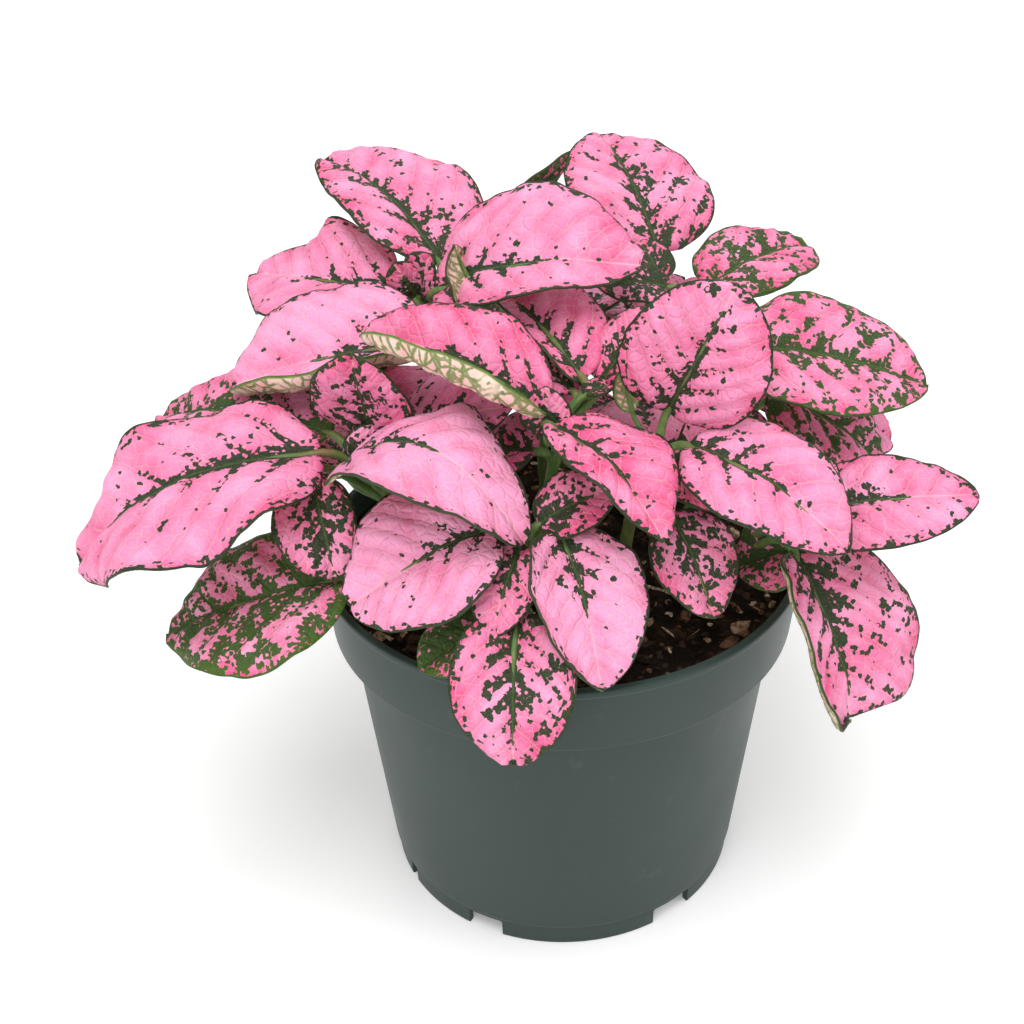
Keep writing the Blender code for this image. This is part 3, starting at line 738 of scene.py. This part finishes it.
def pot_cavity():
    """The pot's inner corners as (radius, height, rounding), from its axis to below the lip."""
    floor_top = FLOOR_LIFT + FLOOR
    ledge_top = FOOT_HEIGHT + WALL
    band_foot = RIM_HEIGHT - BAND_HEIGHT
    return [
        (0.0, floor_top, 0.0),
        (FLOOR_RADIUS - WALL, floor_top, 0.0),
        (FLOOR_RADIUS, ledge_top, 0.0),
        (WALL_FOOT_RADIUS - WALL + 0.5 * MM, ledge_top, 0.0),
        (WALL_TOP_RADIUS - WALL, band_foot + 0.7 * WALL, 0.0),
        (BAND_FOOT_RADIUS - WALL, band_foot + 1.3 * WALL, 0.0),
        (RIM_RADIUS - LIP_WIDTH, RIM_HEIGHT - 0.4 * MM, 0.7 * MM),
    ]


def make_pot(settings):
    """The pot: a tapered wall with a collar, a rounded lip, a stepped foot and drain notches."""
    band_foot = RIM_HEIGHT - BAND_HEIGHT
    corners = pot_cavity() + [
        (RIM_RADIUS - LIP_WIDTH + 0.3 * MM, RIM_HEIGHT, 0.4 * MM),
        (RIM_RADIUS, RIM_HEIGHT, 0.8 * MM),
        (RIM_RADIUS - 0.1 * MM, RIM_HEIGHT - 1.6 * MM, 0.3 * MM),
        (RIM_RADIUS - 0.45 * MM, RIM_HEIGHT - 2.1 * MM, 0.4 * MM),
        (BAND_FOOT_RADIUS, band_foot, 0.7 * MM),
        (WALL_TOP_RADIUS, band_foot - 0.5 * MM, 0.9 * MM),
        (WALL_FOOT_RADIUS + 0.7 * MM, FOOT_HEIGHT + 0.9 * MM, 0.4 * MM),
        (WALL_FOOT_RADIUS, FOOT_HEIGHT, 0.3 * MM),
        (WALL_FOOT_RADIUS - 0.2 * MM, 0.0, 0.6 * MM),
        (WALL_FOOT_RADIUS - FOOT_WIDTH, 0.0, 0.5 * MM),
        (WALL_FOOT_RADIUS - FOOT_WIDTH, FOOT_HEIGHT, 0.4 * MM),
        (FLOOR_RADIUS + WALL, FOOT_HEIGHT, 0.8 * MM),
        (FLOOR_RADIUS, FLOOR_LIFT, 0.8 * MM),
        (0.0, FLOOR_LIFT, 0.0),
    ]
    pot = add_object("pot_body", mesh_of("pot_body", spin(rounded(corners), settings.steps)))
    cutters = []
    for middle, width in NOTCHES:
        for turn in (0, 180):
            angle = math.radians(middle + turn)
            across = 2.0 * WALL_FOOT_RADIUS * math.sin(math.radians(width) / 2.0)
            reach = WALL_FOOT_RADIUS - 0.5 * FOOT_WIDTH
            bm = bmesh.new()
            bmesh.ops.create_cube(bm, size=1.0, matrix=Matrix.Translation(
                (reach * math.sin(angle), -reach * math.cos(angle), 0.0))
                @ Matrix.Rotation(angle, 4, "Z")
                @ Matrix.Diagonal((across, 4.0 * FOOT_WIDTH, 2.0 * NOTCH_HEIGHT, 1.0)))
            bmesh.ops.bevel(bm, geom=bm.edges[:], offset=NOTCH_ROUNDING, offset_type="OFFSET",
                            segments=2, profile=0.5, affect="EDGES", material=-1)
            cutter = add_object("notch_cutter", mesh_of("notch_cutter", bm))
            boolean = pot.modifiers.new("Notch", "BOOLEAN")
            boolean.operation = "DIFFERENCE"
            boolean.object = cutter
            cutters.append(cutter)
    graph = bpy.context.evaluated_depsgraph_get()
    mesh = bpy.data.meshes.new_from_object(pot.evaluated_get(graph))
    for obj in cutters + [pot]:
        old = obj.data
        bpy.data.objects.remove(obj, do_unlink=True)
        bpy.data.meshes.remove(old)
    mesh.name = "pot_body"
    mesh.materials.clear()
    mesh.materials.append(make_pot_material(settings))
    mesh.shade_smooth()
    mesh.set_sharp_from_angle(angle=math.radians(40))
    return new_piece("pot_body", mesh, ["pot"])


def soil_lift(x, y, lumps):
    """How far the soil's surface stands above its even level at a place."""
    place = Vector((x, y, 0.0)) / MM
    lift = noise.noise(place / 14.0) * 0.9 + noise.noise(place / 5.0 + Vector((7, 3, 1))) * 0.7
    lift += abs(noise.noise(place / 2.2)) * 0.5
    return lift * lumps


def soil_level(radius):
    """The even level of the soil at a radius, which sinks a little towards the wall."""
    return SOIL_HEIGHT + SOIL_CROWN - SOIL_FALL * (radius / SOIL_RADIUS) ** 2


def make_soil(settings):
    """The soil: a lumpy top on a body that fills the pot."""
    points = []
    for ring in range(SOIL_RINGS + 1):
        radius = SOIL_RADIUS * ring / SOIL_RINGS
        points.append(Vector((radius, 0.0, soil_level(radius))))
    for radius, height, _ in reversed(pot_cavity()[1:-1]):
        points.append(Vector((radius - SOIL_CLEARANCE, 0.0, height + SOIL_CLEARANCE)))
    points.append(Vector((0.0, 0.0, points[-1].z)))
    bm = spin(points, SOIL_STEPS)
    for vert in bm.verts:
        if vert.co.z > SOIL_LOWEST:
            radius = math.hypot(vert.co.x, vert.co.y)
            fade = 1.0 - smooth(radius, 0.93 * SOIL_RADIUS, SOIL_RADIUS)
            vert.co.z += soil_lift(vert.co.x, vert.co.y, settings.lumps) * (0.25 + 0.75 * fade)
    mesh = mesh_of("soil_body", bm)
    mesh.materials.append(make_soil_material(settings))
    return new_piece("soil_body", mesh, ["soil"])


def make_soil_bits(settings):
    """Loose bits on the soil in four pieces: crumbs, chips of bark, fibres and a little perlite."""
    draw = random.Random(11)
    material = make_bits_material()
    tints, weights = zip(*BIT_TINTS)
    pieces = []
    for quarter in range(4):
        bm = bmesh.new()
        tint = bm.verts.layers.float_vector.new("tint")
        for _ in range(settings.bits // 4):
            angle = (quarter + draw.random()) * math.pi / 2.0
            radius = (SOIL_RADIUS - 2.0 * MM) * math.sqrt(draw.random())
            x, y = radius * math.cos(angle), radius * math.sin(angle)
            color = draw.choices(tints, weights)[0]
            size = draw.uniform(0.4, 0.9) * MM
            size *= LARGE_BITS[1] if draw.random() < LARGE_BITS[0] else 1.0
            stretch = (draw.uniform(1.0, 2.0), draw.uniform(0.7, 1.1), draw.uniform(0.45, 0.8))
            if draw.random() < FIBRES:
                stretch = (draw.uniform(4.0, 7.0), 0.35, 0.3)
            level = soil_level(radius) + soil_lift(x, y, settings.lumps) + size * 0.15
            lean = (Matrix.Rotation(draw.uniform(-0.4, 0.4), 4, "X")
                    @ Matrix.Rotation(draw.uniform(-0.3, 0.3), 4, "Y"))
            turn = Matrix.Rotation(draw.uniform(0, math.tau), 4, "Z")
            place = (Matrix.Translation((x, y, level)) @ turn @ lean
                     @ Matrix.Diagonal((*stretch, 1.0)))
            made = bmesh.ops.create_icosphere(bm, subdivisions=1, radius=size, matrix=place)
            for vert in made["verts"]:
                vert.co += Vector([draw.uniform(-0.16, 0.16) * size for _ in range(3)])
                vert[tint] = color
        mesh = mesh_of(f"soil_bits_{quarter + 1}", bm)
        mesh.shade_flat()
        mesh.materials.append(material)
        pieces.append(new_piece(f"soil_bits_{quarter + 1}", mesh, ["soil"]))
    return pieces


def stem_point(root, apex, share):
    """A point of a stem's bent stretch, from just above the soil to its end."""
    foot = Vector((root[0] * MM, root[1] * MM, SOIL_HEIGHT + STEM_RISE))
    top = Vector(apex) * MM
    rise = top.z - foot.z
    pull_end = foot + Vector(((top.x - foot.x) * 0.6, (top.y - foot.y) * 0.6, rise * 0.7))
    return bezier(foot, foot + Vector((0.0, 0.0, rise * 0.45)), pull_end, top, share)


def half_section(form, side, reach, width):
    """How far out and up a blade's cross-section is at a reach from 0, midrib, to 1, margin."""
    lift = math.radians(form.cup[side])
    turn = math.radians(form.curl[side]) * min(1.0, width / CURL_WIDTH)
    straight = min(reach, FLAT_PART)
    out = straight * math.cos(lift)
    up = straight * math.sin(lift)
    if reach > FLAT_PART:
        outer = 1.0 - FLAT_PART
        end = lift + turn * (reach - FLAT_PART) / outer
        if abs(turn) < 0.001:
            out += (reach - FLAT_PART) * math.cos(lift)
            up += (reach - FLAT_PART) * math.sin(lift)
        else:
            out += (math.sin(end) - math.sin(lift)) * outer / turn
            up += (math.cos(lift) - math.cos(end)) * outer / turn
    return out, up


def half_width(form, side, share):
    """A blade's half-width at a share of its length: an egg shape, pointed at both ends."""
    base_power = BASE_POWERS[0] - BASE_POWERS[1] * form.full
    tip_power = TIP_POWERS[0] - TIP_POWERS[1] * form.full
    widest = base_power / (base_power + tip_power)
    outline = (share / widest) ** base_power * ((1.0 - share) / (1.0 - widest)) ** tip_power
    return max(form.width / 2.0 * outline * form.sides[side], BLADE_END)


def leaf_point(form, across, share):
    """A point of a blade: across runs from -1, left, to 1, right, and share from base to tip."""
    along = form.tip - form.base
    length = along.length
    level = along.cross(Vector((0.0, 0.0, 1.0))).normalized()
    upward = level.cross(along).normalized()
    right = level * math.cos(form.roll) - upward * math.sin(form.roll)
    normal = upward * math.cos(form.roll) + level * math.sin(form.roll)
    bow = (normal * form.arch + right * form.bend) * 4.0 * length
    middle = form.base + along * share + bow * share * (1.0 - share)
    tangent = (along + bow * (1.0 - 2.0 * share)).normalized()
    normal = (normal - tangent * normal.dot(tangent)).normalized()
    outward = tangent.cross(normal)
    side = 0 if across < 0.0 else 1
    width = half_width(form, side, min(max(share, 0.0), 1.0))
    out, up = half_section(form, side, abs(across), width)
    phase = (form.base.x + form.base.y) / MM + (0.9 if side else 0.0)
    ripple = form.wave * across * across * math.sin(4.0 * math.pi * share + phase)
    return middle + outward * math.copysign(out * width, across) + normal * (up + ripple) * width


def vein_swell(x, y, length):
    """How far the blade swells between its side veins: 0 on a vein and 1 midway."""
    out = abs(x)
    along = y - VEIN_LEAN * out - VEIN_CURVE * out * out / length
    place = along / (VEIN_SPACING * length) + math.copysign(VEIN_SHIFT, x)
    return 0.5 + 0.5 * math.cos(math.tau * place)


def add_blade(shoot, form, seed, materials, settings):
    """A leaf's blade: its sheet, with swellings between its veins, and its thickness."""
    length = (form.tip - form.base).length
    columns = max(12, 2 * round(form.width / settings.cell / 2.0))
    rows = max(16, round(length * 1.1 / settings.cell))
    size = min(1.0, form.width / FULL_RELIEF_WIDTH)
    bm = bmesh.new()
    bmesh.ops.create_grid(bm, x_segments=columns, y_segments=rows, size=1.0)
    plan, edge, marks = [bm.verts.layers.float_vector.new(layer) for layer in BLADE_LAYERS]
    spots, rib, rim, pink = form.marks
    lifts = {}
    for vert in bm.verts:
        across, share = vert.co.x, (vert.co.y + 1.0) / 2.0
        width = half_width(form, 0 if across < 0.0 else 1, share) / MM
        x, y = across * width, share * length / MM
        margin = min((1.0 - abs(across)) * width, y + 0.4, length / MM - y + 0.2)
        vert[plan] = (x, y, length / MM)
        vert[edge] = (margin, seed, pink)
        vert[marks] = (spots, rib, rim)
        inner = smooth(margin, 0.0, 0.35 * width + 0.1)
        lift = settings.relief * vein_swell(x, y, length / MM) * inner * smooth(abs(x), 0.3, 3.0)
        lift -= RIB_GROOVE * math.exp(-(x / 1.1) ** 2)
        lift += BLADE_ROLLS * noise.noise(Vector((x / 8.0, y / 8.0, seed * 9.7)))
        lift += MARGIN_FRILLS * abs(across) ** 3 * noise.noise(
            Vector((y / 3.5, seed * 5.1, across)))
        lift += MARGIN_WAVES * across * across * noise.noise(
            Vector((y / 9.0, seed * 2.3, across * 1.5)))
        lifts[vert.index] = lift * size
        notch = 1.0 + 0.028 * noise.noise(Vector((y / 4.0, seed * 3.3, across)))
        vert.co = leaf_point(form, across * notch, share)
    bm.normal_update()
    for vert in bm.verts:
        vert.co += vert.normal * lifts[vert.index]
    name = f"blade_{shoot}_{form.name}"
    mesh = mesh_of(name, bm)
    for material in materials:
        mesh.materials.append(material)
    blade = new_piece(name, mesh, [f"shoot_{shoot}"])
    solidify = blade.modifiers.new("Thickness", "SOLIDIFY")
    solidify.thickness = settings.thickness
    solidify.offset = 0.0
    solidify.material_offset = 1
    solidify.material_offset_rim = 2
    return blade


def make_blades(settings):
    """Every leaf's blade, each a piece of its own."""
    materials = (make_upper_material(settings), make_under_material(settings),
                 make_margin_material(settings))
    blades = []
    for node, (_, _, leaves) in SHOOTS.items():
        for form in leaves:
            seed = 1.0 + 0.37 * len(blades)
            blades.append(add_blade(node.removeprefix("shoot_"), form, seed, materials, settings))
    return blades


def stalk_route(root, apex, form, settings):
    """A leaf stalk's points and radii: from the stem, out to the blade and on as its midrib."""
    base = form.base
    route = [stem_point(root, apex, step / ROUTE_STEPS)
             for step in range(LOWEST_STEP, ROUTE_STEPS + 1)]

    def miss(point):
        outwards = math.hypot(point.x - base.x, point.y - base.y)
        return abs(point.z - (base.z - STALK_SLOPE * outwards - STALK_DROP))

    start = min(route, key=miss)
    reach = (base - start).length
    heading = (leaf_point(form, 0.0, 0.1) - base).normalized()
    pull_start = start + (base - start) * STALK_PULL + Vector((0.0, 0.0, STALK_LIFT * reach))
    pull_end = base - heading * STALK_PULL * reach
    thick = min(settings.stalk, form.width * 0.05 + 0.2 * MM)
    points = []
    for step in range(STALK_STEPS + 1):
        share = step / STALK_STEPS
        flare = 0.35 * math.exp(-(share * reach / (1.6 * MM)) ** 2)
        points.append((bezier(start, pull_start, pull_end, base, share), thick * (1.0 + flare)))
    for step in range(1, RIB_STEPS + 1):
        share = RIB_SHARE * step / RIB_STEPS
        here, side = leaf_point(form, 0.0, share), leaf_point(form, 0.02, share)
        ahead = leaf_point(form, 0.0, share + 0.02)
        normal = (side - here).cross(ahead - here).normalized()
        radius = thick * (1.0 - share / RIB_SHARE) ** 0.7 * 0.8 + 0.12 * MM
        sink = smooth(share, 0.0, 0.05) * (radius * 0.5 + 0.65 * MM)
        points.append((here - normal * sink, radius))
    return points


def add_spline(curve, points):
    """A straight-sided spline through points that each have a radius."""
    spline = curve.splines.new("POLY")
    spline.points.add(len(points) - 1)
    for point, (place, radius) in zip(spline.points, points):
        point.co = (*place, 1.0)
        point.radius = radius


def add_stems(node, root, apex, leaves, material, settings):
    """A shoot's stem and leaf stalks, as one piece."""
    curve = bpy.data.curves.new("stem_guide", "CURVE")
    curve.dimensions = "3D"
    curve.bevel_depth = 1.0
    curve.bevel_resolution = 3
    curve.use_fill_caps = True
    foot = Vector((root[0] * MM, root[1] * MM, SOIL_HEIGHT - ROOT_DEPTH))
    stem = [(foot, settings.radius)]
    for step in range(STEM_STEPS + 1):
        share = step / STEM_STEPS
        knot = 0.16 * math.exp(-((share * 4.0) % 1.0 - 0.5) ** 2 / 0.006)
        radius = settings.radius * (1.0 - 0.35 * share + knot * (share > 0.05))
        stem.append((stem_point(root, apex, share), radius))
    stem.append((stem[-1][0] + (stem[-1][0] - stem[-2][0]) * 0.6, settings.radius * 0.2))
    add_spline(curve, stem)
    for form in leaves:
        add_spline(curve, stalk_route(root, apex, form, settings))
    guide = add_object("stem_guide", curve)
    graph = bpy.context.evaluated_depsgraph_get()
    name = node.replace("shoot", "stems")
    mesh = bpy.data.meshes.new_from_object(guide.evaluated_get(graph))
    bpy.data.objects.remove(guide, do_unlink=True)
    bpy.data.curves.remove(curve)
    bm = bmesh.new()
    bm.from_mesh(mesh)
    bpy.data.meshes.remove(mesh)
    bmesh.ops.remove_doubles(bm, verts=bm.verts[:], dist=0.003 * MM)
    mesh = mesh_of(name, bm)
    mesh.materials.clear()
    mesh.materials.append(material)
    mesh.set_sharp_from_angle(angle=math.radians(60))
    return new_piece(name, mesh, [node])


def make_stems(settings):
    """The stems and stalks of every shoot."""
    material = make_stem_material(settings)
    return [add_stems(node, root, apex, leaves, material, settings)
            for node, (root, apex, leaves) in SHOOTS.items()]


def make_floor(settings):
    """A pale floor that gives off a little light, and more of it far away."""
    bm = bmesh.new()
    bmesh.ops.create_grid(bm, x_segments=1, y_segments=1, size=FLOOR_SIDE)
    floor = add_object("floor", mesh_of("floor", bm))
    recipe = Recipe("floor", 0.9, 0.1)
    recipe.put(settings.floor, recipe.shader.inputs["Base Color"])
    recipe.put((1.0, 1.0, 1.0), recipe.shader.inputs["Emission Color"])
    near, far, rise = GLOW_RISE
    away = recipe.value("ShaderNodeVectorMath", (recipe.place(),), "Value", operation="LENGTH")
    glow = recipe.step(away, near, far, settings.glow, settings.glow + rise)
    recipe.put(glow, recipe.shader.inputs["Emission Strength"])
    floor.data.materials.append(recipe.material)
    return floor


def make_world(settings):
    """Soft light from all around, on a backdrop that the camera sees as white."""
    world = bpy.data.worlds.new("studio")
    world.use_nodes = True
    tree = world.node_tree
    background = tree.nodes["Background"]
    background.inputs["Color"].default_value = (1.0, 1.0, 1.0, 1.0)
    seen = tree.nodes.new("ShaderNodeLightPath").outputs["Is Camera Ray"]
    level = tree.nodes.new("ShaderNodeMapRange")
    level.inputs["To Min"].default_value = settings.ambient
    level.inputs["To Max"].default_value = 1.0
    tree.links.new(seen, level.inputs["Value"])
    tree.links.new(level.outputs[0], background.inputs["Strength"])
    bpy.context.scene.world = world


def make_lights():
    """Round lamps above and on three sides of the plant."""
    for name, (place, size, power) in LIGHTS.items():
        light = bpy.data.lights.new(name, "AREA")
        light.shape = "DISK"
        light.size = size
        light.energy = power
        lamp = add_object(name, light)
        lamp.location = place
        lamp.rotation_euler = (LIGHT_AIM - Vector(place)).to_track_quat("-Z", "Y").to_euler()


def make_camera(settings):
    """The camera, in front of the pot and looking down on it."""
    camera = bpy.data.cameras.new("camera")
    camera.sensor_width = SENSOR
    camera.lens = settings.lens
    camera.shift_x = CAMERA_SHIFT
    camera.dof.use_dof = False
    viewer = add_object("camera", camera)
    viewer.matrix_world = (Matrix.Translation((0.0, -settings.distance, settings.height))
                           @ Matrix.Rotation(math.pi / 2.0 - settings.pitch, 4, "X")
                           @ Matrix.Rotation(CAMERA_ROLL, 4, "Z"))
    bpy.context.scene.camera = viewer
    bpy.context.scene.view_settings.view_transform = "Standard"


def make_stage(settings):
    """The floor, the lights and the camera."""
    make_floor(settings)
    make_world(settings)
    make_lights()
    make_camera(settings)


# ---- The add-on's operators and panel ----


class PLANT_OT_make_pot(Operator):
    """Make the nursery pot"""
    bl_idname = "plant.make_pot"
    bl_label = "Make Pot"

    def execute(self, context):
        make_pot(context.scene.plant_pot)
        return {"FINISHED"}


class PLANT_OT_make_soil(Operator):
    """Make the soil and the loose bits on it"""
    bl_idname = "plant.make_soil"
    bl_label = "Make Soil"

    def execute(self, context):
        make_soil(context.scene.plant_soil)
        make_soil_bits(context.scene.plant_soil)
        return {"FINISHED"}


class PLANT_OT_make_stems(Operator):
    """Make the stems and leaf stalks of every shoot"""
    bl_idname = "plant.make_stems"
    bl_label = "Make Stems"

    def execute(self, context):
        make_stems(context.scene.plant_stem)
        return {"FINISHED"}


class PLANT_OT_make_leaves(Operator):
    """Make the blades of all leaves"""
    bl_idname = "plant.make_leaves"
    bl_label = "Make Leaves"

    def execute(self, context):
        make_blades(context.scene.plant_leaf)
        return {"FINISHED"}


class PLANT_OT_make_stage(Operator):
    """Make the floor, the lights and the camera"""
    bl_idname = "plant.make_stage"
    bl_label = "Make Stage"

    def execute(self, context):
        make_stage(context.scene.plant_stage)
        return {"FINISHED"}


class PLANT_PT_pieces(Panel):
    """Makes the pieces of the plant"""
    bl_label = "Polka Dot Plant"
    bl_idname = "PLANT_PT_pieces"
    bl_space_type = "VIEW_3D"
    bl_region_type = "UI"
    bl_category = "Plant"

    def draw(self, context):
        layout = self.layout
        for operator, name, group in TOOLS:
            layout.operator(operator.bl_idname)
            for setting in group.__annotations__:
                layout.prop(getattr(context.scene, name), setting)


TOOLS = (
    (PLANT_OT_make_stage, "plant_stage", StageSettings),
    (PLANT_OT_make_pot, "plant_pot", PotSettings),
    (PLANT_OT_make_soil, "plant_soil", SoilSettings),
    (PLANT_OT_make_stems, "plant_stem", StemSettings),
    (PLANT_OT_make_leaves, "plant_leaf", LeafSettings),
)


def register():
    """Register the classes and give the scene its settings."""
    for operator, name, group in TOOLS:
        bpy.utils.register_class(group)
        bpy.utils.register_class(operator)
        setattr(bpy.types.Scene, name, PointerProperty(type=group))
    bpy.utils.register_class(PLANT_PT_pieces)


def unregister():
    """Take the settings and the classes away again."""
    bpy.utils.unregister_class(PLANT_PT_pieces)
    for operator, name, group in reversed(TOOLS):
        delattr(bpy.types.Scene, name)
        bpy.utils.unregister_class(operator)
        bpy.utils.unregister_class(group)


def main():
    """Make every piece and the stage."""
    register()
    bpy.ops.plant.make_stage()
    bpy.ops.plant.make_pot()
    bpy.ops.plant.make_soil()
    bpy.ops.plant.make_stems()
    bpy.ops.plant.make_leaves()


if __name__ == "__main__":
    main()
